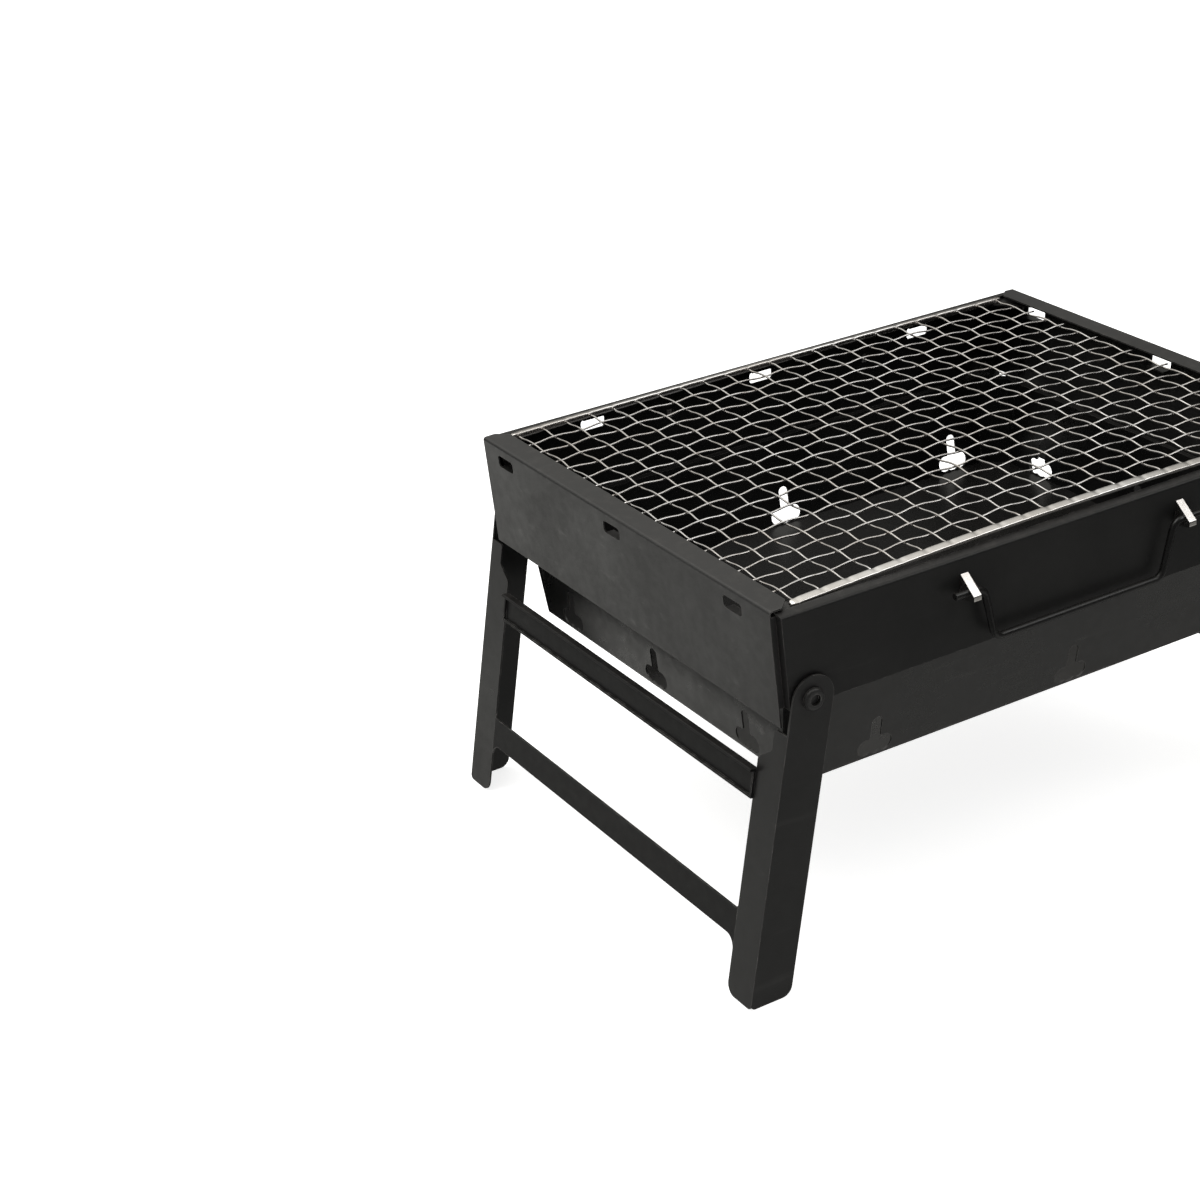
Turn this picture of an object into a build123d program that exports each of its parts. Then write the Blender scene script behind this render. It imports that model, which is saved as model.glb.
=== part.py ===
from build123d import *
import math
import os

# Folding camp grill, opened out and standing on its two leg frames.
# Millimetres. Origin on the ground under the middle of the grill, +Z up,
# +X along the long sides, -Y towards the front handle.

# ---- driving dimensions: frame ------------------------------------------
LENGTH = 358.0           # outside length over the flared end rims
WIDTH = 270.0            # outside width over the long panels
RIM_Z = 199.0            # rim fold of the long panels above the ground
END_RIM_Z = 201.2        # rim fold of the end panels
SHEET = 0.8              # frame and tray sheet thickness
SIDE_BOTTOM = 151.0      # lower edge of the long panels
END_BOTTOM = 141.0       # lower edge of the end panels
END_HALF_WIDTH = 130.5   # end panels stop just short of the long panels
END_RECESS = 3.2         # corner returns sit this far behind the end panels
END_BATTER = 4.4         # lower edge of the end panels is set in
RIM_SIDE = 5.8           # inward rim flange on the long panels
RIM_SIDE_RISE = 0.6      # its inner edge stands higher than the fold
RIM_END = 13.0           # inward rim flange on the end panels
RIM_END_RISE = 0.4
RIM_MITRE = 7.0          # corners cut off the end panels' flanges
HEM_DEPTH = 4.4          # inward hem that carries the tray
HEM_HALF_LENGTH = 130.0
RETURN_DEPTH = 18.0
BEND_OUTER = 1.6
BEND_INNER = 0.8

# ---- driving dimensions: rim slots and lanced tabs ------------------------
SLOT_LENGTH = 15.0
SLOT_HEIGHT = 6.5
SLOT_RADIUS = 2.0
END_SLOT_PITCH = 104.5
END_SLOT_SHIFT = 4.3     # middle slot, towards the rear
END_SLOT_DROP = 8.6
SIDE_SLOT_PITCH = 110.0
SIDE_SLOT_DROP = 9.0
TAB_REACH_END = 4.6
TAB_REACH_SIDE = 1.5

# ---- driving dimensions: tray ---------------------------------------------
TRAY_TOP = 152.0
TRAY_BOTTOM = 102.0
TRAY_TOP_X = 163.5
TRAY_TOP_Y = 129.4
TRAY_BOTTOM_X = 159.5
TRAY_BOTTOM_Y = 120.5
TRAY_CHAMFER = 12.0
TRAY_LIP = 2.4
VENT_PITCH_SIDE = 120.5
VENT_SHIFT_SIDE = 5.5    # the long walls' vents stand off the middle, to the right
VENT_PITCH_END = 81.0
VENT_STEM_WIDTH = 6.0
VENT_LOBE_RADIUS = 4.6
VENT_LOBE_SPREAD = 5.4
VENT_HEIGHT = 21.0
VENT_LIFT = 1.4

# ---- driving dimensions: leg frames ----------------------------------------
PIVOT_X = 161.0
PIVOT_Z = 155.0
SPLAY = 10.5             # degrees each leg frame leans outwards
LEG_SHEET = 1.0
LEG_FACE = 11.0          # outer face of the leg, in front of the pivot axis
LEG_BACK = 12.0          # flange edge behind the pivot axis
LEG_STRIP = 20.0         # width of each leg's face strip
LEG_FLANGE_IN = 136.0    # inner side of the flanges
LEG_NECK = 10.5          # narrow top of each face strip
LEG_NECK_START = 18.0    # distances below the pivot
LEG_NECK_END = 29.0
LEG_STRIP_START = 35.5   # full width from here down
CROSSBAR_UPPER = 42.0
CROSSBAR_LOWER = 115.0
CROSSBAR_HEIGHT = 15.4
PAN_LIP = 3.4            # upper crossbar's top lip; its other edges have a low one
PAN_LIP_THICKNESS = 1.6
PAN_EDGE = 1.2
CORNER_ABOVE = 2.5       # window corner radii at the lower crossbar
CORNER_BELOW = 6.5
FOOT_RADIUS = 6.0
LUG_RADIUS = 9.0         # long panel carried down round each pivot

# ---- driving dimensions: pivot rivets --------------------------------------
RIVET_RADIUS = 3.0
RIVET_FIT = 0.06
RIVET_HEAD_RADIUS = 5.6
RIVET_HEAD_HEIGHT = 2.2
RIVET_EYE_RADIUS = 2.8   # hollow in the middle of each head
RIVET_EYE_DEPTH = 1.7
RIVET_TAIL_RADIUS = 4.4
WASHER_RADIUS = 7.0
WASHER_THICKNESS = 0.7
FACE_GAP = 0.3

# ---- driving dimensions: handles -------------------------------------------
HANDLE_WIRE = 1.8        # wire radius
HANDLE_AXIS_Y = 140.0
HANDLE_AXIS_Z = 183.0
HANDLE_DROP = 28.2
HANDLE_STUB_X = 76.0
HANDLE_SHOULDER_X = 59.0
HANDLE_GRIP_X = 52.0
HANDLE_BEND = 6.0
HANDLE_SHIFT = -6.0      # front handle's middle, from the middle of the panel
EAR_X = 66.5
EAR_WIDTH = 4.4
EAR_REACH = 10.0         # how far each hooded ear stands out of its panel
EAR_ABOVE = 7.6          # heights from the wire's axis
EAR_BELOW = 5.0
EAR_NOSE_TOP = 0.5       # both below the axis
EAR_NOSE_BOTTOM = 3.4
EAR_FIT = 0.08

# ---- driving dimensions: grill net ------------------------------------------
NET_HALF_X = 165.0
NET_HALF_Y = 128.6
NET_Z = 199.2
NET_WIRE = 0.55          # wire radius
NET_LONG_COUNT = 17
NET_CROSS_COUNT = 23
NET_END_OVERHANG = 3.8   # long wires run on past the outermost cross wires
STRIP_WIDTH = 4.4
STRIP_THICKNESS = 2.9
GUSSET_X = 24.5
GUSSET_Y = 28.0
GUSSET_Z = 196.8


def box(x0, x1, y0, y1, z0, z1):
    """Axis-aligned block from its corner coordinates."""
    block = Box(abs(x1 - x0), abs(y1 - y0), abs(z1 - z0))
    return Pos((x0 + x1) / 2, (y0 + y1) / 2, (z0 + z1) / 2) * block


def close_to(vertex, x, y):
    """True when a sketch vertex is at the given point."""
    return abs(vertex.X - x) < 1e-4 and abs(vertex.Y - y) < 1e-4


def rounded(points, radii):
    """Closed polygon with its own radius at each corner (0 keeps it sharp)."""
    shape = make_face(Polyline(*points, close=True))
    for (x, y), radius in zip(points, radii):
        if radius > 0:
            corner = [v for v in shape.vertices() if close_to(v, x, y)]
            shape = fillet(corner, radius)
    return shape


def along_x(sketch, x0, x1):
    """Extrude a sketch drawn in (Y, Z) from x0 to x1."""
    placed = Plane(origin=(x0, 0, 0), x_dir=(0, 1, 0), z_dir=(1, 0, 0)) * sketch
    return extrude(placed, amount=x1 - x0, dir=(1, 0, 0))


def along_y(sketch, y0, y1):
    """Extrude a sketch drawn in (X, Z) from y0 to y1."""
    placed = Plane(origin=(0, y0, 0), x_dir=(1, 0, 0), z_dir=(0, -1, 0)) * sketch
    return extrude(placed, amount=y1 - y0, dir=(0, 1, 0))


def along_z(sketch, z0, z1):
    """Extrude a sketch drawn in (X, Y) from z0 to z1."""
    return extrude(Pos(0, 0, z0) * sketch, amount=z1 - z0)


def mirrored_x(shape):
    """The same piece on the other end of the grill."""
    return mirror(shape, about=Plane.YZ)


def mirrored_y(shape):
    """The same piece on the other long side of the grill."""
    return mirror(shape, about=Plane.XZ)


def half_turn(shape):
    """The same piece turned end for end about the vertical."""
    return Rot(0, 0, 180) * shape


def pivot_rod(radius, y0, y1):
    """Short round bar on the leg pivot axis, at the left end."""
    rod = Cylinder(radius, y1 - y0, rotation=(90, 0, 0))
    return Pos(-PIVOT_X, (y0 + y1) / 2, PIVOT_Z) * rod


# ---- frame ------------------------------------------------------------------
HALF_L = LENGTH / 2
HALF_W = WIDTH / 2


def slot_sketch(centre, z):
    """Round-cornered rim slot, seen square on."""
    return Pos(centre, z) * RectangleRounded(SLOT_LENGTH, SLOT_HEIGHT, SLOT_RADIUS)


def end_face(z):
    """How far the leaning outer face of an end panel is from the middle, at a height."""
    return HALF_L - END_BATTER * (END_RIM_Z - z) / (END_RIM_Z - END_BOTTOM)


def leaning(near, far, low, high):
    """Slice (X, Z) that leans with the left end panel, between two distances behind its face."""
    return make_face(Polyline(
        (-end_face(low) + near, low), (-end_face(high) + near, high),
        (-end_face(high) + far, high), (-end_face(low) + far, low), close=True))


def panel_profile(outside, fold, bottom, batter, reach, rise):
    """Upright sheet with a rim flange that climbs inwards, seen end on.

    The fold is at -outside, and the lower edge is set in by the batter.
    """
    slope = rise / reach
    drop = SHEET * math.hypot(1, slope)
    return rounded(
        [(-outside + batter, bottom), (-outside, fold), (-outside + reach, fold + rise),
         (-outside + reach, fold + rise - drop), (-outside + SHEET, fold + slope * SHEET - drop),
         (-outside + batter + SHEET, bottom)],
        [0, BEND_OUTER, 0, 0, BEND_INNER, 0])


def long_panel():
    """Front long panel: rim flange on top, hem and corner returns below."""
    profile = panel_profile(HALF_W, RIM_Z, SIDE_BOTTOM, 0, RIM_SIDE, RIM_SIDE_RISE)
    panel = along_x(profile, -HALF_L, HALF_L)
    beyond = along_y(leaning(-20, END_RECESS, SIDE_BOTTOM - 5, END_RIM_Z), -HALF_W - 1, 0)
    corner_return = along_y(leaning(END_RECESS, END_RECESS + SHEET, SIDE_BOTTOM, RIM_Z - SHEET),
                            -HALF_W + SHEET / 2, -HALF_W + RETURN_DEPTH)
    panel -= beyond
    panel -= mirrored_x(beyond)
    panel += corner_return
    panel += mirrored_x(corner_return)
    panel += box(-HEM_HALF_LENGTH, HEM_HALF_LENGTH, -HALF_W + SHEET / 2, -HALF_W + HEM_DEPTH,
                 SIDE_BOTTOM, SIDE_BOTTOM + SHEET)
    lug = pivot_rod(LUG_RADIUS, -HALF_W, -HALF_W + SHEET)
    rivet = pivot_rod(RIVET_RADIUS, -HALF_W - 2, -HALF_W + 2)
    panel += lug
    panel += mirrored_x(lug)
    panel -= rivet
    panel -= mirrored_x(rivet)
    for end in (-1, 1):
        centre = HANDLE_SHIFT + end * EAR_X
        panel -= box(centre - EAR_WIDTH / 2, centre + EAR_WIDTH / 2, -HALF_W - 2, -HALF_W + 2,
                     HANDLE_AXIS_Z - HANDLE_WIRE - 0.6, HANDLE_AXIS_Z + HANDLE_WIRE + 0.6)
    return panel


def rear_long_panel():
    """Rear long panel: the front one turned round, with three lanced rim slots."""
    panel = half_turn(long_panel())
    z = RIM_Z - SIDE_SLOT_DROP
    for index in (-1, 0, 1):
        centre = index * SIDE_SLOT_PITCH
        panel -= along_y(slot_sketch(centre, z), HALF_W - 2, HALF_W + 2)
        panel += box(centre - SLOT_LENGTH / 2 + 1, centre + SLOT_LENGTH / 2 - 1,
                     HALF_W - SHEET - TAB_REACH_SIDE, HALF_W - SHEET / 2,
                     z + SLOT_HEIGHT / 2, z + SLOT_HEIGHT / 2 + SHEET)
    return panel


def end_panel():
    """Left end panel, leaning outwards: mitred rim flange, side returns and three lanced slots."""
    profile = panel_profile(HALF_L, END_RIM_Z, END_BOTTOM, END_BATTER, RIM_END, RIM_END_RISE)
    panel = along_y(profile, -END_HALF_WIDTH, END_HALF_WIDTH)
    inner_x = -HALF_L + RIM_END
    mitre = along_z(make_face(Polyline(
        (inner_x - RIM_MITRE, -END_HALF_WIDTH - 1), (inner_x + 1, -END_HALF_WIDTH - 1),
        (inner_x + 1, -END_HALF_WIDTH + RIM_MITRE), close=True)), END_RIM_Z - 2, END_RIM_Z + 2)
    side_return = along_y(leaning(SHEET / 2, END_RECESS, SIDE_BOTTOM, RIM_Z - SHEET),
                          -END_HALF_WIDTH, -END_HALF_WIDTH + SHEET)
    panel -= mitre
    panel -= mirrored_y(mitre)
    panel += side_return
    panel += mirrored_y(side_return)
    z = END_RIM_Z - END_SLOT_DROP
    tab_top = z - SLOT_HEIGHT / 2
    tab_root = -end_face(tab_top) + SHEET / 2
    for index in (-1, 0, 1):
        centre = END_SLOT_SHIFT + index * END_SLOT_PITCH
        panel -= along_x(slot_sketch(centre, z), -HALF_L - 2, -HALF_L + 4)
        panel += box(tab_root, tab_root + TAB_REACH_END, centre - SLOT_LENGTH / 2 + 1,
                     centre + SLOT_LENGTH / 2 - 1, tab_top - SHEET, tab_top)
    return panel


def corner_gusset():
    """Small plate in a top corner; the net's edge strips rest on it."""
    x1 = end_face(GUSSET_Z) - END_RECESS - SHEET
    y1 = HALF_W - SHEET
    outline = make_face(Polyline((x1, y1), (x1 - GUSSET_X, y1), (x1, y1 - GUSSET_Y), close=True))
    return along_z(outline, GUSSET_Z, GUSSET_Z + SHEET)


def corner_gussets():
    """All four corner plates."""
    rear_right = corner_gusset()
    front_right = mirrored_y(rear_right)
    return [rear_right, front_right, mirrored_x(rear_right), mirrored_x(front_right)]


# ---- tray --------------------------------------------------------------------
def octagon(half_x, half_y, z):
    """Tray outline with cut corners at one height."""
    cx = half_x - TRAY_CHAMFER
    cy = half_y - TRAY_CHAMFER
    points = [(half_x, -cy), (half_x, cy), (cx, half_y), (-cx, half_y),
              (-half_x, cy), (-half_x, -cy), (-cx, -half_y), (cx, -half_y)]
    return Pos(0, 0, z) * make_face(Polyline(*points, close=True))


def frustum(inset, z0, z1):
    """Tapered block between two heights, inset from the tray's outside."""
    def half_size(z):
        k = (z - TRAY_BOTTOM) / (TRAY_TOP - TRAY_BOTTOM)
        half_x = TRAY_BOTTOM_X + k * (TRAY_TOP_X - TRAY_BOTTOM_X) - inset
        half_y = TRAY_BOTTOM_Y + k * (TRAY_TOP_Y - TRAY_BOTTOM_Y) - inset
        return half_x, half_y
    low_x, low_y = half_size(z0)
    high_x, high_y = half_size(z1)
    return loft([octagon(low_x, low_y, z0), octagon(high_x, high_y, z1)], ruled=True)


def vent_sketch(centre):
    """Club-shaped air vent: an upright slot over two round lobes."""
    base = TRAY_BOTTOM + VENT_LIFT
    top = base + VENT_HEIGHT
    lobes_z = base + VENT_LOBE_RADIUS
    stem_top = top - VENT_STEM_WIDTH / 2
    shape = Pos(centre, (lobes_z + stem_top) / 2) * Rectangle(VENT_STEM_WIDTH, stem_top - lobes_z)
    shape += Pos(centre, stem_top) * Circle(VENT_STEM_WIDTH / 2)
    for side in (-1, 1):
        shape += Pos(centre + side * VENT_LOBE_SPREAD, lobes_z) * Circle(VENT_LOBE_RADIUS)
    shape += Pos(centre, lobes_z + 0.6) * Circle(VENT_LOBE_RADIUS + 0.8)
    return shape


def tray_walls():
    """Walls of the tray with their outward rim lip, before they are divided."""
    walls = frustum(0, TRAY_BOTTOM, TRAY_TOP) - frustum(SHEET, TRAY_BOTTOM - 1, TRAY_TOP + 1)
    lip_outer = octagon(TRAY_TOP_X + TRAY_LIP, TRAY_TOP_Y + TRAY_LIP, TRAY_TOP)
    lip_inner = octagon(TRAY_TOP_X - SHEET, TRAY_TOP_Y - SHEET, TRAY_TOP)
    walls += extrude(lip_outer - lip_inner, amount=SHEET)
    walls -= box(-300, 300, -300, 300, TRAY_BOTTOM - 2, TRAY_BOTTOM + SHEET)
    return walls


def tray_pieces():
    """Floor, four walls and the four corner walls of the tray."""
    walls = tray_walls()
    floor = octagon(TRAY_BOTTOM_X, TRAY_BOTTOM_Y, TRAY_BOTTOM)
    floor = extrude(floor, amount=SHEET)
    span_x = TRAY_BOTTOM_X - TRAY_CHAMFER
    span_y = TRAY_BOTTOM_Y - TRAY_CHAMFER
    front = walls & box(-span_x, span_x, -200, 0, 0, 300)
    left = walls & box(-200, 0, -span_y, span_y, 0, 300)
    for index in (-1, 0, 1):
        side_vent = vent_sketch(index * VENT_PITCH_SIDE + VENT_SHIFT_SIDE)
        front -= along_y(side_vent, -140, -100)
        end_vent = vent_sketch(index * VENT_PITCH_END)
        left -= along_x(end_vent, -170, -140)
    corner = walls & box(-200, -span_x, -200, -span_y, 0, 300)
    corners = [corner, mirrored_x(corner), mirrored_y(corner), half_turn(corner)]
    return floor, front, mirrored_y(front), left, mirrored_x(left), corners


# ---- leg frames ----------------------------------------------------------------
def leg_length(forward):
    """Distance down the leg to the ground, at a given distance in front of the pivot."""
    tilt = math.radians(SPLAY)
    return (PIVOT_Z + forward * math.sin(tilt)) / math.cos(tilt)


def stand(shape):
    """Lean an upright left leg piece outwards and put it on its pivot."""
    return Pos(-PIVOT_X, 0, PIVOT_Z) * Rot(0, SPLAY, 0) * shape


def leg_post():
    """Front post of the left leg frame: pivot flange folded to a face strip."""
    outer_y = -LEG_FLANGE_IN - LEG_SHEET
    face_end = leg_length(LEG_FACE - LEG_SHEET)
    back_end = leg_length(-LEG_BACK)
    flange = rounded(
        [(-LEG_FACE, 0), (-LEG_FACE, -leg_length(LEG_FACE)), (LEG_BACK, -back_end), (LEG_BACK, 0)],
        [0, 2.5, FOOT_RADIUS, 0])
    flange += Pos((LEG_BACK - LEG_FACE) / 2, 0) * Circle((LEG_FACE + LEG_BACK) / 2)
    post = along_y(flange, outer_y, outer_y + LEG_SHEET)
    strip = rounded(
        [(outer_y, -LEG_NECK_START), (outer_y + LEG_NECK, -LEG_NECK_START),
         (outer_y + LEG_NECK, -LEG_NECK_END), (outer_y + LEG_STRIP, -LEG_STRIP_START),
         (outer_y + LEG_STRIP, -face_end), (outer_y, -face_end)],
        [0, 2, 3, 3, FOOT_RADIUS, 2.5])
    post += along_x(strip, -LEG_FACE, -LEG_FACE + LEG_SHEET)
    bore = Cylinder(RIVET_RADIUS + RIVET_FIT, 6, rotation=(90, 0, 0))
    post -= Pos(0, outer_y, 0) * bore
    return post


def crossbar(top, above, below):
    """Web between the two posts, flared into round window corners."""
    half = LEG_FLANGE_IN + LEG_SHEET - LEG_STRIP
    low = -top - CROSSBAR_HEIGHT
    shape = Pos(0, -top - CROSSBAR_HEIGHT / 2) * Rectangle(2 * half, CROSSBAR_HEIGHT)
    for side in (-1, 1):
        for edge, way, radius in ((-top, 1, above), (low, -1, below)):
            if radius > 0:
                flare = Pos(side * (half - radius / 2), edge + way * radius / 2)
                shape += flare * Rectangle(radius, radius)
                shape -= Pos(side * (half - radius), edge + way * radius) * Circle(radius)
    return along_x(shape, -LEG_FACE, -LEG_FACE + LEG_SHEET)


def upper_crossbar():
    """Upper crossbar: a shallow pan with a deep top lip, open to the outside."""
    half = LEG_FLANGE_IN + LEG_SHEET - LEG_STRIP
    high = -CROSSBAR_UPPER
    low = high - CROSSBAR_HEIGHT
    root = -LEG_FACE + LEG_SHEET / 2
    lip = rounded(
        [(-LEG_FACE - PAN_LIP, high), (root, high), (root, high - PAN_LIP_THICKNESS),
         (-LEG_FACE - PAN_LIP, high - PAN_LIP_THICKNESS)],
        [0.7, 0, 0, 0.7])
    bar = crossbar(CROSSBAR_UPPER, 0, 0) + along_y(lip, -half, half)
    bar += box(-LEG_FACE - PAN_EDGE, root, -half, half, low, low + PAN_EDGE)
    for side in (-1, 1):
        bar += box(-LEG_FACE - PAN_EDGE, root, side * (half - PAN_EDGE), side * half, low, high)
    return bar


# ---- pivot rivets ----------------------------------------------------------------
def pivot_rivet():
    """Front left rivet: shank through the panel, washer and leg flange."""
    flange_out = -LEG_FLANGE_IN - LEG_SHEET
    head_base = flange_out - FACE_GAP
    shank = pivot_rod(RIVET_RADIUS, head_base - 0.5, -HALF_W + SHEET + 0.5)
    head = pivot_rod(RIVET_HEAD_RADIUS, head_base - RIVET_HEAD_HEIGHT, head_base)
    rim = head.edges().filter_by(GeomType.CIRCLE).sort_by(Axis.Y)[0]
    head = fillet(rim, 1.5)
    outside = head_base - RIVET_HEAD_HEIGHT
    head -= pivot_rod(RIVET_EYE_RADIUS, outside - 1, outside + RIVET_EYE_DEPTH)
    tail = pivot_rod(RIVET_TAIL_RADIUS, -HALF_W + SHEET, -HALF_W + SHEET + 1.0)
    return shank + head + tail


def pivot_washer():
    """Front left washer between the long panel and the leg flange."""
    disc = pivot_rod(WASHER_RADIUS, -HALF_W - WASHER_THICKNESS, -HALF_W)
    return disc - pivot_rod(RIVET_RADIUS, -HALF_W - 3, -HALF_W + 3)


# ---- handles ------------------------------------------------------------------------
def handle():
    """Front wire handle, hanging down from its two ears."""
    y = -HANDLE_AXIS_Y
    low = HANDLE_AXIS_Z - HANDLE_DROP
    path = FilletPolyline(
        (-HANDLE_STUB_X, y, HANDLE_AXIS_Z), (-HANDLE_SHOULDER_X, y, HANDLE_AXIS_Z),
        (-HANDLE_GRIP_X, y, low), (HANDLE_GRIP_X, y, low),
        (HANDLE_SHOULDER_X, y, HANDLE_AXIS_Z), (HANDLE_STUB_X, y, HANDLE_AXIS_Z),
        radius=HANDLE_BEND)
    section = Plane(origin=(-HANDLE_STUB_X, y, HANDLE_AXIS_Z), z_dir=(1, 0, 0)) * Circle(HANDLE_WIRE)
    return Pos(HANDLE_SHIFT, 0, 0) * sweep(section, path=path)


def handle_ears():
    """Two front ears: narrow hoods bent out of the long panel over the handle's ends."""
    nose = HALF_W + EAR_REACH
    profile = rounded(
        [(-HALF_W, HANDLE_AXIS_Z - EAR_BELOW), (-HALF_W, HANDLE_AXIS_Z + EAR_ABOVE),
         (-nose, HANDLE_AXIS_Z - EAR_NOSE_TOP), (-nose, HANDLE_AXIS_Z - EAR_NOSE_BOTTOM)],
        [0, 0, 1.2, 1.2])
    profile -= Pos(-HANDLE_AXIS_Y, HANDLE_AXIS_Z) * Circle(HANDLE_WIRE + EAR_FIT)
    left = along_x(profile, -EAR_X - EAR_WIDTH / 2, -EAR_X + EAR_WIDTH / 2)
    return [Pos(HANDLE_SHIFT, 0, 0) * ear for ear in (left, mirrored_x(left))]


# ---- grill net -------------------------------------------------------------------------
def net_wires_long():
    """Wires that run the length of the net, in the upper layer."""
    wires = []
    inner = NET_HALF_Y - STRIP_WIDTH
    for index in range(NET_LONG_COUNT):
        y = -inner + (index + 1) * 2 * inner / (NET_LONG_COUNT + 1)
        wire = Cylinder(NET_WIRE, 2 * NET_HALF_X, rotation=(0, 90, 0))
        wires.append(Pos(0, y, NET_Z + NET_WIRE) * wire)
    return wires


def net_wires_cross():
    """Wires that run across the net, in the lower layer, into the edge strips."""
    wires = []
    span = NET_HALF_X - NET_END_OVERHANG
    for index in range(NET_CROSS_COUNT):
        x = -span + index * 2 * span / (NET_CROSS_COUNT - 1)
        wire = Cylinder(NET_WIRE, 2 * (NET_HALF_Y - STRIP_WIDTH), rotation=(90, 0, 0))
        wires.append(Pos(x, 0, NET_Z - NET_WIRE) * wire)
    return wires


def net_strip():
    """Front edge strip, folded over the ends of the cross wires."""
    profile = rounded(
        [(-NET_HALF_Y, NET_Z - STRIP_THICKNESS / 2), (-NET_HALF_Y, NET_Z + STRIP_THICKNESS / 2),
         (-NET_HALF_Y + STRIP_WIDTH, NET_Z + STRIP_THICKNESS / 2),
         (-NET_HALF_Y + STRIP_WIDTH, NET_Z - STRIP_THICKNESS / 2)],
        [1.2, 1.2, 0, 0])
    return along_x(profile, -NET_HALF_X, NET_HALF_X)


# ---- write every node ---------------------------------------------------------------------
def save(node, shape):
    """Write one node; a list of solids becomes one group."""
    solids = []
    for piece in shape if isinstance(shape, list) else [shape]:
        solids.extend(piece.solids())
    body = solids[0] if len(solids) == 1 else Compound(children=solids)
    export_step(body, "parts/" + node + ".step")


os.makedirs("parts", exist_ok=True)

front_panel = long_panel()
left_end = end_panel()
save("frame_side_front", front_panel)
save("frame_side_rear", rear_long_panel())
save("frame_end_left", left_end)
save("frame_end_right", mirrored_x(left_end))
save("corner_gussets", corner_gussets())

tray_floor, tray_front, tray_rear, tray_left, tray_right, tray_corners = tray_pieces()
save("tray_floor", tray_floor)
save("tray_wall_front", tray_front)
save("tray_wall_rear", tray_rear)
save("tray_wall_left", tray_left)
save("tray_wall_right", tray_right)
save("tray_corners", tray_corners)

front_post = leg_post()
left_leg = {
    "post_front": stand(front_post),
    "post_rear": stand(mirrored_y(front_post)),
    "crossbar_upper": stand(upper_crossbar()),
    "crossbar_lower": stand(crossbar(CROSSBAR_LOWER, CORNER_ABOVE, CORNER_BELOW)),
}
for name, piece in left_leg.items():
    save("leg_left_" + name, piece)
    save("leg_right_" + name, mirrored_x(piece))

rivet = pivot_rivet()
washer = pivot_washer()
save("leg_rivets_left", [rivet, mirrored_y(rivet)])
save("leg_rivets_right", [mirrored_x(rivet), half_turn(rivet)])
save("leg_washers_left", [washer, mirrored_y(washer)])
save("leg_washers_right", [mirrored_x(washer), half_turn(washer)])

front_handle = handle()
front_ears = handle_ears()
save("handle_front", front_handle)
save("handle_rear", half_turn(front_handle))
save("handle_ears_front", front_ears)
save("handle_ears_rear", [half_turn(ear) for ear in front_ears])

front_strip = net_strip()
save("net_wires_long", net_wires_long())
save("net_wires_cross", net_wires_cross())
save("net_strip_front", front_strip)
save("net_strip_rear", mirrored_y(front_strip))
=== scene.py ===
import math
import random

import bmesh
import bpy
from mathutils import Matrix, Vector


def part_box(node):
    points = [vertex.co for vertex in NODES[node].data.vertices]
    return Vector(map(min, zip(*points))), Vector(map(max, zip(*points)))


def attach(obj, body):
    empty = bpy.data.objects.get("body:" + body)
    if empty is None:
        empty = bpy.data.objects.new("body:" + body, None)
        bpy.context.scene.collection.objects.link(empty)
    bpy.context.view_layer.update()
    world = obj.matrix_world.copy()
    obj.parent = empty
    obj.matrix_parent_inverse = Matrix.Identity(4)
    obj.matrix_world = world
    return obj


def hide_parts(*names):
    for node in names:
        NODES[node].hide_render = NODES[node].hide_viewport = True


# Folding camp grill, opened out: black painted sheet steel round a woven, plated wire net.
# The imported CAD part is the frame; this script gives it its finishes and rebuilds the net.

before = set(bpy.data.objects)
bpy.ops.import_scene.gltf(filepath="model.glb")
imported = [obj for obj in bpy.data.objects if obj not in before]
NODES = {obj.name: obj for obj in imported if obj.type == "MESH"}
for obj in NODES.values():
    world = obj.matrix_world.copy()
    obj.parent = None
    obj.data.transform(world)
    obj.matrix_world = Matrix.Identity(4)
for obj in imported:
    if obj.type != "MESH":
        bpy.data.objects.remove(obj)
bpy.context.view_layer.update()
SCENE = bpy.context.scene
MM = 0.001
RANGE_SOCKETS = ("From Min", "From Max", "To Min", "To Max")


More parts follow.
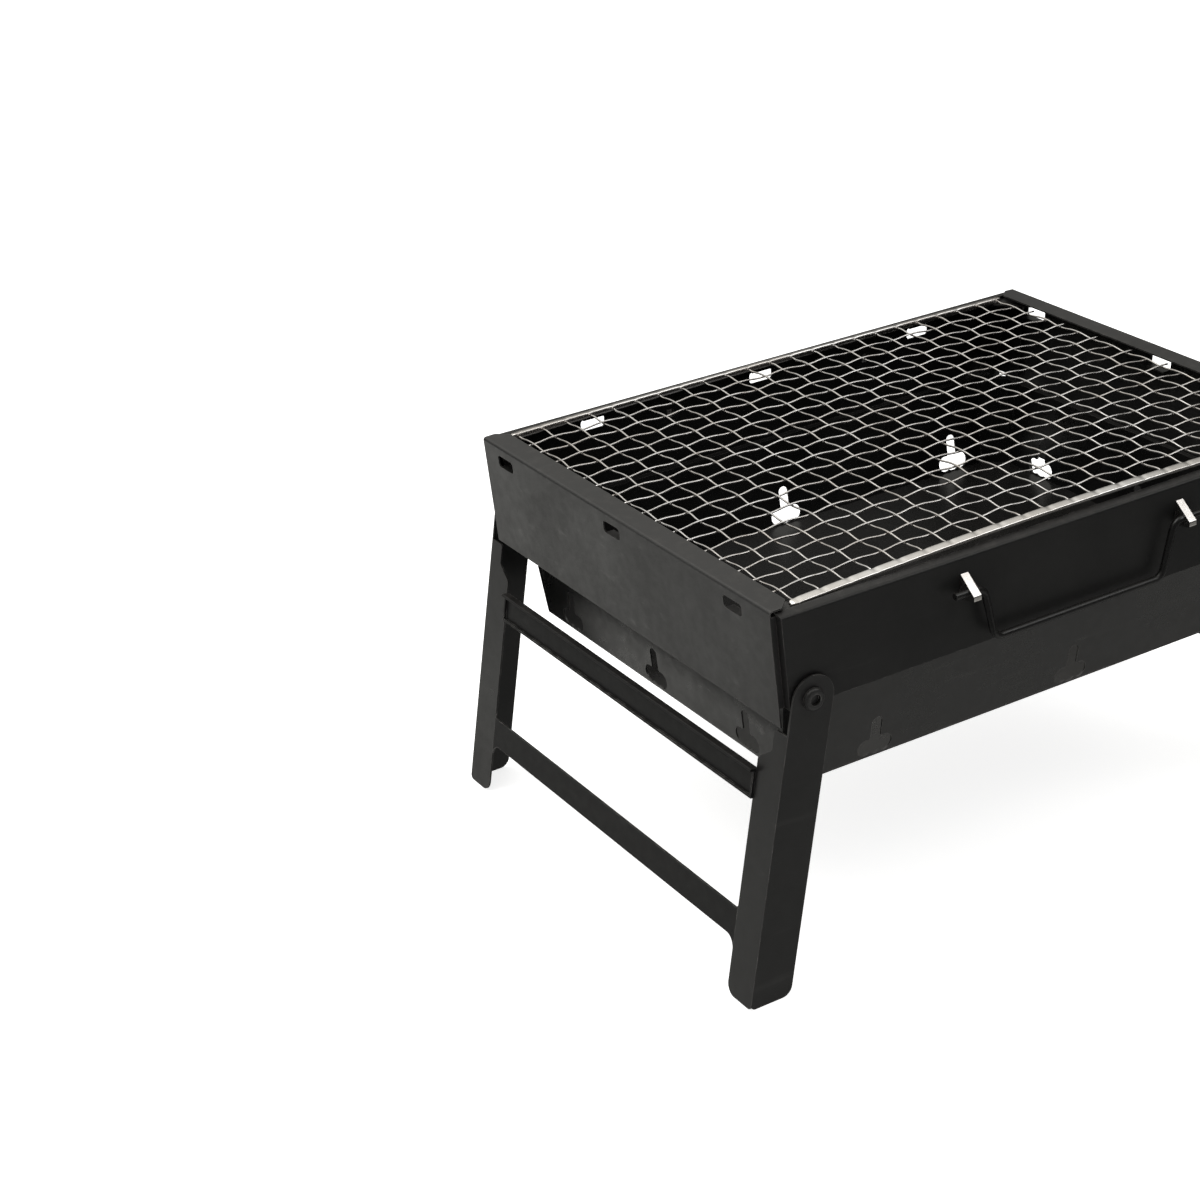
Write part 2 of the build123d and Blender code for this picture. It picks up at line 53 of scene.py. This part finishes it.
# ---- node helpers ---------------------------------------------------------------------
class Tree:
    """Small helper that adds nodes to a material and links them."""

    def __init__(self, name):
        self.material = bpy.data.materials.new(name)
        self.material.use_nodes = True
        self.nodes = self.material.node_tree.nodes
        self.links = self.material.node_tree.links
        self.nodes.clear()
        self.shader = self.nodes.new("ShaderNodeBsdfPrincipled")
        out = self.nodes.new("ShaderNodeOutputMaterial")
        self.links.new(self.shader.outputs[0], out.inputs[0])
        self.coords = self.nodes.new("ShaderNodeTexCoord").outputs["Object"]

    def put(self, socket, value):
        """Set a socket to a number or colour, or link an output to it."""
        if isinstance(value, bpy.types.NodeSocket):
            self.links.new(value, socket)
        else:
            socket.default_value = value

    def noise(self, scale, detail, roughness=0.55, stretch=(1, 1, 1)):
        """Noise over the object's own coordinates, in cycles per metre."""
        place = self.nodes.new("ShaderNodeMapping")
        place.inputs["Scale"].default_value = stretch
        self.links.new(self.coords, place.inputs[0])
        node = self.nodes.new("ShaderNodeTexNoise")
        node.inputs["Scale"].default_value = scale
        node.inputs["Detail"].default_value = detail
        node.inputs["Roughness"].default_value = roughness
        self.links.new(place.outputs[0], node.inputs["Vector"])
        return node.outputs["Fac"]

    def remap(self, value, low, high, to_low, to_high):
        """Map a range of values smoothly to another, clamped."""
        node = self.nodes.new("ShaderNodeMapRange")
        node.interpolation_type = "SMOOTHSTEP"
        self.put(node.inputs["Value"], value)
        for name, number in zip(RANGE_SOCKETS, (low, high, to_low, to_high)):
            node.inputs[name].default_value = number
        return node.outputs["Result"]

    def math(self, kind, a, b):
        """Combine two numbers."""
        node = self.nodes.new("ShaderNodeMath")
        node.operation = kind
        self.put(node.inputs[0], a)
        self.put(node.inputs[1], b)
        return node.outputs[0]

    def mix(self, fac, a, b):
        """Mix two colours."""
        node = self.nodes.new("ShaderNodeMix")
        node.data_type = "RGBA"
        self.put(node.inputs["Factor"], fac)
        self.put(node.inputs["A"], a)
        self.put(node.inputs["B"], b)
        return node.outputs["Result"]

    def bump(self, height, strength, distance):
        """Bump node; the distance is in metres."""
        node = self.nodes.new("ShaderNodeBump")
        node.inputs["Strength"].default_value = strength
        node.inputs["Distance"].default_value = distance
        self.links.new(height, node.inputs["Height"])
        return node

    def edge_mask(self, radius, low, high):
        """1 along outer edges, where a rounded normal leaves the flat one."""
        bevel = self.nodes.new("ShaderNodeBevel")
        bevel.samples = 4
        bevel.inputs["Radius"].default_value = radius
        flat = self.nodes.new("ShaderNodeNewGeometry").outputs["Normal"]
        dot = self.nodes.new("ShaderNodeVectorMath")
        dot.operation = "DOT_PRODUCT"
        self.links.new(bevel.outputs[0], dot.inputs[0])
        self.links.new(flat, dot.inputs[1])
        return self.remap(dot.outputs["Value"], high, low, 0.0, 1.0)

    def upward(self, low, high):
        """1 on surfaces that face up."""
        normal = self.nodes.new("ShaderNodeNewGeometry").outputs["Normal"]
        split = self.nodes.new("ShaderNodeSeparateXYZ")
        self.links.new(normal, split.inputs[0])
        return self.remap(split.outputs["Z"], low, high, 0.0, 1.0)


def grey(level, warm=0.0):
    """Linear grey with a slight warm cast."""
    return (level * (1 + warm), level, level * (1 - warm), 1.0)


def black_paint(name, base, rough, specular, wear_and_edge_highlight=0.5, dust=0.3):
    """Heat-resistant black paint on steel: orange peel, rub marks, dust, and edges lightened both as wear
    and as a painted highlight.
    """
    t = Tree(name)
    blotch = t.noise(11.0, 4.0)
    fine = t.noise(160.0, 3.0)
    peel = t.noise(1500.0, 2.0)
    rub = t.noise(60.0, 5.0, 0.7, stretch=(0.15, 1.0, 2.2))
    specks = t.noise(900.0, 2.0, 0.8)
    colour = t.mix(t.remap(blotch, 0.35, 0.68, 0.0, 1.0), grey(base * 0.8), grey(base * 1.3, 0.02))
    colour = t.mix(t.remap(rub, 0.6, 0.78, 0.0, 0.35), colour, grey(base * 2.4 + 0.004, 0.03))
    dust_mask = t.math("MULTIPLY", t.upward(0.25, 0.95), t.remap(fine, 0.45, 0.75, 0.1, dust))
    colour = t.mix(dust_mask, colour, grey(0.07, 0.08))
    colour = t.mix(t.remap(specks, 0.72, 0.78, 0.0, 0.4), colour, grey(0.10, 0.05))
    # edges are lightened towards grey: partly paint worn through, partly a painted highlight along the
    # edges
    edge = t.math("MULTIPLY", t.edge_mask(0.0007, 0.80, 0.97), t.remap(fine, 0.40, 0.62, 0.1, wear_and_edge_highlight))
    colour = t.mix(edge, colour, grey(0.16, 0.04))
    t.put(t.shader.inputs["Base Color"], colour)
    roughness = t.math("ADD", t.remap(blotch, 0.3, 0.7, rough - 0.05, rough + 0.07),
                       t.remap(rub, 0.55, 0.8, 0.0, -0.08))
    roughness = t.math("ADD", roughness, t.remap(fine, 0.3, 0.7, -0.025, 0.03))
    t.put(t.shader.inputs["Roughness"], roughness)
    t.shader.inputs["Specular IOR Level"].default_value = specular
    waves = t.bump(t.noise(16.0, 2.0), 0.25, 0.0012)
    grain = t.bump(peel, 0.16, 0.00012)
    t.links.new(waves.outputs[0], grain.inputs["Normal"])
    t.put(t.shader.inputs["Normal"], grain.outputs[0])
    return t.material


HEAT_TARNISH = (0.30, 0.22, 0.15, 1.0)


def plated_wire(name, bright, rough, tarnish):
    """Bright plated steel: drawn-wire streaks, dulling and a little heat tarnish."""
    t = Tree(name)
    blotch = t.noise(28.0, 4.0)
    fine = t.noise(420.0, 3.0)
    dull = grey(bright * 0.82, 0.05)
    colour = t.mix(t.remap(blotch, 0.35, 0.65, 0.0, 1.0), grey(bright, 0.02), dull)
    colour = t.mix(t.remap(fine, 0.5, 0.75, 0.0, tarnish), colour, HEAT_TARNISH)
    t.put(t.shader.inputs["Base Color"], colour)
    t.shader.inputs["Metallic"].default_value = 1.0
    roughness = t.math("ADD", t.remap(blotch, 0.3, 0.7, rough - 0.05, rough + 0.08),
                       t.remap(fine, 0.3, 0.7, -0.04, 0.05))
    t.put(t.shader.inputs["Roughness"], roughness)
    t.put(t.shader.inputs["Normal"], t.bump(t.noise(2600.0, 2.0), 0.2, 0.00006).outputs[0])
    return t.material


def paint_nodes(material, *names):
    """Give CAD nodes one material in every slot."""
    for name in names:
        mesh = NODES[name].data
        mesh.materials.clear()
        mesh.materials.append(material)


# ---- finishes ---------------------------------------------------------------------------
panel_paint = black_paint("long_panel_paint", 0.008, 0.42, 0.35)
# the end panels and corner gussets take the long panels' black paint at twice the base brightness: painted
# light where the end panels face the light
end_paint_with_painted_light = black_paint("end_panel_paint_with_painted_light", 0.016, 0.40, 0.5)
tray_paint = black_paint("tray_paint", 0.008, 0.28, 0.5, dust=0.1)
leg_paint = black_paint("leg_paint", 0.009, 0.36, 0.45)
crossbar_paint = black_paint("crossbar_paint", 0.009, 0.48, 0.22, wear_and_edge_highlight=0.9)
rivet_finish = black_paint("rivet_black", 0.012, 0.33, 0.5, wear_and_edge_highlight=0.8)
wire_paint = black_paint("handle_wire_paint", 0.007, 0.24, 0.35, wear_and_edge_highlight=0.35, dust=0.1)
ear_finish = plated_wire("ear_plating", 0.80, 0.22, 0.1)
net_plating = plated_wire("net_plating", 0.70, 0.25, 0.35)
strip_plating = plated_wire("strip_plating", 0.88, 0.20, 0.06)

paint_nodes(panel_paint, "frame_side_front", "frame_side_rear")
paint_nodes(end_paint_with_painted_light, "frame_end_left", "frame_end_right", "corner_gussets")
paint_nodes(tray_paint, *[n for n in NODES if n.startswith("tray_")])
paint_nodes(leg_paint, *[n for n in NODES if n.startswith(("leg_left_", "leg_right_"))])
paint_nodes(crossbar_paint, *[n for n in NODES if "_crossbar_" in n])
paint_nodes(rivet_finish, *[n for n in NODES if n.startswith(("leg_rivets_", "leg_washers_"))])
paint_nodes(wire_paint, "handle_front", "handle_rear")
paint_nodes(ear_finish, "handle_ears_front", "handle_ears_rear")


# ---- woven net ------------------------------------------------------------------------------
LONG_COUNT = 17
CROSS_COUNT = 23
WIRE = 0.55 * MM         # wire radius
SIDES = 8
STEPS = 8                # rings between two crossings
BOW_FRONT = 4.0 * MM     # the sprung net stands proud in the middle, most at its front edge
BOW_REAR = 1.0 * MM
LONG_WOBBLE = 0.28       # millimetres that each wire strays sideways at its crossings
CROSS_WOBBLE = 0.35
CRIMP_HEIGHT = 1.06      # wave and its flattening, in wire radii
CRIMP_FLATTENING = 0.06
TUCK_LENGTH = 4.0 * MM   # the cross wires straighten where they enter the edge strips
STRIP_STEPS = 12         # rings between two cross wires
STRIP_SIDES = 20
STRIP_SQUARE = 0.45      # below 1 squares the section off
STRIP_END = 4.0 * MM     # rounded end
STRIP_END_THICKNESS = 0.25
STRIP_END_WIDTH = 0.35
STRIP_SLOPE = 0.3        # the hem thins towards its outer edge
STRIP_NIP = 0.16         # how deep each crimp is, against the strip's thickness
STRIP_NIP_SHARPNESS = 6
long_lo, long_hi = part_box("net_wires_long")
cross_lo, cross_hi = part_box("net_wires_cross")
strip_lo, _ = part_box("net_strip_front")
NET_Z = (cross_hi.z + long_lo.z) / 2
NET_EDGE = -strip_lo.y


def spread(low, high, count):
    """Evenly spaced wire centres between the outer sides of a wire set."""
    return [low + WIRE + k * (high - low - 2 * WIRE) / (count - 1) for k in range(count)]


LONG_Y = spread(long_lo.y, long_hi.y, LONG_COUNT)
CROSS_X = spread(cross_lo.x, cross_hi.x, CROSS_COUNT)


def bow(x, y):
    """How far the net stands above its flat place."""
    rear = (y + NET_EDGE) / (2 * NET_EDGE)
    return (BOW_FRONT * (1 - rear) + BOW_REAR * rear) * (1 - (x / long_hi.x) ** 2)


def skin(bm, rings):
    """Join rings of vertices into a closed surface with capped ends."""
    for a, b in zip(rings, rings[1:]):
        for s in range(len(a)):
            n = (s + 1) % len(a)
            bm.faces.new((a[s], a[n], b[n], b[s]))
    bm.faces.new(rings[0][::-1])
    bm.faces.new(rings[-1])


def tube(bm, points):
    """Closed round wire along a list of points."""
    rings = []
    for k, point in enumerate(points):
        ahead = points[min(k + 1, len(points) - 1)] - points[max(k - 1, 0)]
        ahead.normalize()
        side = ahead.cross(Vector((0, 0, 1))).normalized()
        up = side.cross(ahead)
        ring = []
        for s in range(SIDES):
            angle = 2 * math.pi * s / SIDES
            ring.append(bm.verts.new(point + WIRE * (math.cos(angle) * side + math.sin(angle) * up)))
        rings.append(ring)
    skin(bm, rings)


def finish_mesh(bm, name, material, body, replaced):
    """Turn a bmesh into a piece that rides on a body in place of CAD nodes."""
    bmesh.ops.recalc_face_normals(bm, faces=bm.faces)
    mesh = bpy.data.meshes.new(name)
    bm.to_mesh(mesh)
    bm.free()
    for polygon in mesh.polygons:
        polygon.use_smooth = True
    piece = bpy.data.objects.new(name, mesh)
    SCENE.collection.objects.link(piece)
    mesh.materials.append(material)
    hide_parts(*replaced)
    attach(piece, body)


def crimped(crossings, start, end, sign, wobble):
    """Heights and side steps of one crimped wire, sampled along its length."""
    pitch = crossings[1] - crossings[0]
    count = int(round((end - start) / pitch * STEPS))
    samples = []
    for k in range(count + 1):
        s = start + (end - start) * k / count
        phase = (s - crossings[0]) / pitch
        wave = math.cos(math.pi * phase)
        height = sign * WIRE * (CRIMP_HEIGHT * wave - CRIMP_FLATTENING * math.cos(3 * math.pi * phase))
        near = min(max(int(math.floor(phase)), 0), len(wobble) - 2)
        t = min(max(phase - near, 0.0), 1.0)
        t = t * t * (3 - 2 * t)
        samples.append((s, height, wobble[near] * (1 - t) + wobble[near + 1] * t))
    return samples


def woven_net():
    """Two crimped wire sets that pass over and under each other."""
    rng = random.Random(7)
    bm_long = bmesh.new()
    for i, y in enumerate(LONG_Y):
        wobble = [rng.uniform(-LONG_WOBBLE, LONG_WOBBLE) * MM for _ in CROSS_X]
        samples = crimped(CROSS_X, long_lo.x, long_hi.x, 1 if i % 2 else -1, wobble)
        points = []
        for s, height, side in samples:
            points.append(Vector((s, y + side, NET_Z + height + bow(s, y))))
        tube(bm_long, points)
    finish_mesh(bm_long, "net_woven_long", net_plating, "grill_net", ["net_wires_long"])
    bm_cross = bmesh.new()
    for j, x in enumerate(CROSS_X):
        wobble = [rng.uniform(-CROSS_WOBBLE, CROSS_WOBBLE) * MM for _ in LONG_Y]
        samples = crimped(LONG_Y, cross_lo.y, cross_hi.y, -1 if j % 2 else 1, wobble)
        points = []
        for s, height, side in samples:
            fade = min(1.0, (s - cross_lo.y) / TUCK_LENGTH, (cross_hi.y - s) / TUCK_LENGTH)
            points.append(Vector((x + side * fade, s, NET_Z + height * fade + bow(x, s))))
        tube(bm_cross, points)
    finish_mesh(bm_cross, "net_woven_cross", net_plating, "grill_net", ["net_wires_cross"])


def edge_strip(name, node, outward):
    """Flat plated hem that follows the bowed net and is nipped at every cross wire."""
    low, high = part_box(node)
    middle_y, half_y, half_z = (low.y + high.y) / 2, (high.y - low.y) / 2, (high.z - low.z) / 2
    pitch = CROSS_X[1] - CROSS_X[0]
    stations = STRIP_STEPS * (CROSS_COUNT + 1)
    bm = bmesh.new()
    rings = []
    for k in range(stations + 1):
        x = low.x + (high.x - low.x) * k / stations
        from_end = min(x - low.x, high.x - x)
        end = math.sqrt(max(0.0, 1 - max(0.0, 1 - from_end / STRIP_END) ** 2))
        nip = max(0.0, math.cos(2 * math.pi * (x - CROSS_X[0]) / pitch)) ** STRIP_NIP_SHARPNESS
        ring = []
        for s in range(STRIP_SIDES):
            angle = 2 * math.pi * s / STRIP_SIDES
            across = math.copysign(abs(math.cos(angle)) ** STRIP_SQUARE, math.cos(angle))
            up = math.copysign(abs(math.sin(angle)) ** STRIP_SQUARE, math.sin(angle))
            thick = half_z * (STRIP_END_THICKNESS + (1 - STRIP_END_THICKNESS) * end) * (1 - STRIP_NIP * nip)
            y = middle_y + across * half_y * (STRIP_END_WIDTH + (1 - STRIP_END_WIDTH) * end)
            z = (low.z + high.z) / 2 + up * thick * (1 - STRIP_SLOPE * across * outward) + bow(x, y)
            ring.append(bm.verts.new((x, y, z)))
        rings.append(ring)
    skin(bm, rings)
    finish_mesh(bm, name, strip_plating, "grill_net", [node])


woven_net()
edge_strip("net_edge_front", "net_strip_front", -1)
edge_strip("net_edge_rear", "net_strip_rear", 1)


# ---- shading of the CAD nodes ------------------------------------------------------------------
for node in NODES.values():
    for polygon in node.data.polygons:
        polygon.use_smooth = False


# ---- floor, light and camera -------------------------------------------------------------------
FLOOR_HALF_SIZE = 15.0
FLOOR_DROP = 0.2 * MM    # just below the feet
FLOOR_GLOW = 0.82
CAMERA_PLACE = (-0.73784, -0.95373, 0.69735)
CAMERA_AZIMUTH = 29.888
CAMERA_ELEVATION = 26.032
CAMERA_ROLL = -3.646
CAMERA_LENS = 75.157
MIDDLE = (0, 0, 0.1)     # what the lights aim at


def stage_floor():
    """Large plain pale floor."""
    bm = bmesh.new()
    bmesh.ops.create_grid(bm, x_segments=8, y_segments=8, size=FLOOR_HALF_SIZE)
    mesh = bpy.data.meshes.new("floor")
    bm.to_mesh(mesh)
    bm.free()
    floor = bpy.data.objects.new("floor", mesh)
    floor.location = (0, 0, -FLOOR_DROP)
    SCENE.collection.objects.link(floor)
    material = bpy.data.materials.new("floor_white")
    material.use_nodes = True
    shader = material.node_tree.nodes["Principled BSDF"]
    shader.inputs["Base Color"].default_value = (0.86, 0.86, 0.86, 1)
    shader.inputs["Emission Color"].default_value = (1, 1, 1, 1)
    shader.inputs["Emission Strength"].default_value = FLOOR_GLOW
    shader.inputs["Roughness"].default_value = 0.9
    shader.inputs["Specular IOR Level"].default_value = 0.0
    mesh.materials.append(material)
    floor.visible_glossy = False


def studio_world():
    """Soft studio surroundings: bright behind and to the left, darker in front."""
    world = bpy.data.worlds.new("studio")
    SCENE.world = world
    world.use_nodes = True
    nodes, links = world.node_tree.nodes, world.node_tree.links
    nodes.clear()
    out = nodes.new("ShaderNodeOutputWorld")
    direction = nodes.new("ShaderNodeTexCoord").outputs["Generated"]

    def lobe(axis, low, high, to_low, to_high):
        dot = nodes.new("ShaderNodeVectorMath")
        dot.operation = "DOT_PRODUCT"
        links.new(direction, dot.inputs[0])
        dot.inputs[1].default_value = Vector(axis).normalized()
        ramp = nodes.new("ShaderNodeMapRange")
        ramp.interpolation_type = "SMOOTHSTEP"
        links.new(dot.outputs["Value"], ramp.inputs["Value"])
        for name, number in zip(RANGE_SOCKETS, (low, high, to_low, to_high)):
            ramp.inputs[name].default_value = number
        return ramp.outputs["Result"]

    def combine(kind, a, b):
        node = nodes.new("ShaderNodeMath")
        node.operation = kind
        links.new(a, node.inputs[0])
        links.new(b, node.inputs[1])
        return node.outputs[0]

    around = lobe((-0.55, 0.75, -0.2), -0.4, 0.95, 0.07, 0.20)
    low_left = lobe((-0.42, 0.80, -0.42), 0.9586, 0.995, 0.0, 0.76)
    low_front = lobe((0.5, -0.6, -0.9), 0.885, 0.94, 0.0, 0.32)
    top = lobe((-0.1, 0.35, 1.0), 0.35, 1.0, 0.0, 0.9)
    studio = nodes.new("ShaderNodeBackground")
    sides = combine("ADD", combine("ADD", around, low_left), low_front)
    links.new(combine("ADD", sides, top), studio.inputs["Strength"])
    studio.inputs["Color"].default_value = (1.0, 0.99, 0.94, 1)
    white = nodes.new("ShaderNodeBackground")
    white.inputs["Color"].default_value = (1, 1, 1, 1)
    white.inputs["Strength"].default_value = 1.0
    path = nodes.new("ShaderNodeLightPath")
    mix = nodes.new("ShaderNodeMixShader")
    links.new(path.outputs["Is Camera Ray"], mix.inputs[0])
    links.new(studio.outputs[0], mix.inputs[1])
    links.new(white.outputs[0], mix.inputs[2])
    links.new(mix.outputs[0], out.inputs[0])


def soft_light(name, place, target, size, power):
    """Large square soft light aimed at a point."""
    data = bpy.data.lights.new(name, "AREA")
    data.shape = "SQUARE"
    data.size = size
    data.energy = power
    light = bpy.data.objects.new(name, data)
    SCENE.collection.objects.link(light)
    light.location = place
    light.rotation_euler = (Vector(target) - Vector(place)).to_track_quat("-Z", "Y").to_euler()


def photo_camera():
    """Camera at the photograph's viewing angle."""
    azimuth = math.radians(CAMERA_AZIMUTH)
    elevation = math.radians(CAMERA_ELEVATION)
    roll = math.radians(CAMERA_ROLL)
    ahead = Vector((math.sin(azimuth) * math.cos(elevation), math.cos(azimuth) * math.cos(elevation),
                    -math.sin(elevation)))
    level = ahead.cross(Vector((0, 0, 1))).normalized()
    upright = level.cross(ahead)
    right = math.cos(roll) * level + math.sin(roll) * upright
    up = math.cos(roll) * upright - math.sin(roll) * level
    data = bpy.data.cameras.new("camera")
    data.sensor_width = 36.0
    data.lens = CAMERA_LENS
    camera = bpy.data.objects.new("camera", data)
    SCENE.collection.objects.link(camera)
    axes = Matrix((right, up, -ahead)).transposed()
    camera.matrix_world = Matrix.Translation(CAMERA_PLACE) @ axes.to_4x4()
    SCENE.camera = camera


SCENE.view_settings.view_transform = "Standard"
stage_floor()
studio_world()
soft_light("key", (-0.6, 0.4, 2.4), MIDDLE, 1.6, 22.0)
soft_light("fill", (1.6, -1.6, 2.2), MIDDLE, 1.5, 16.0)
photo_camera()
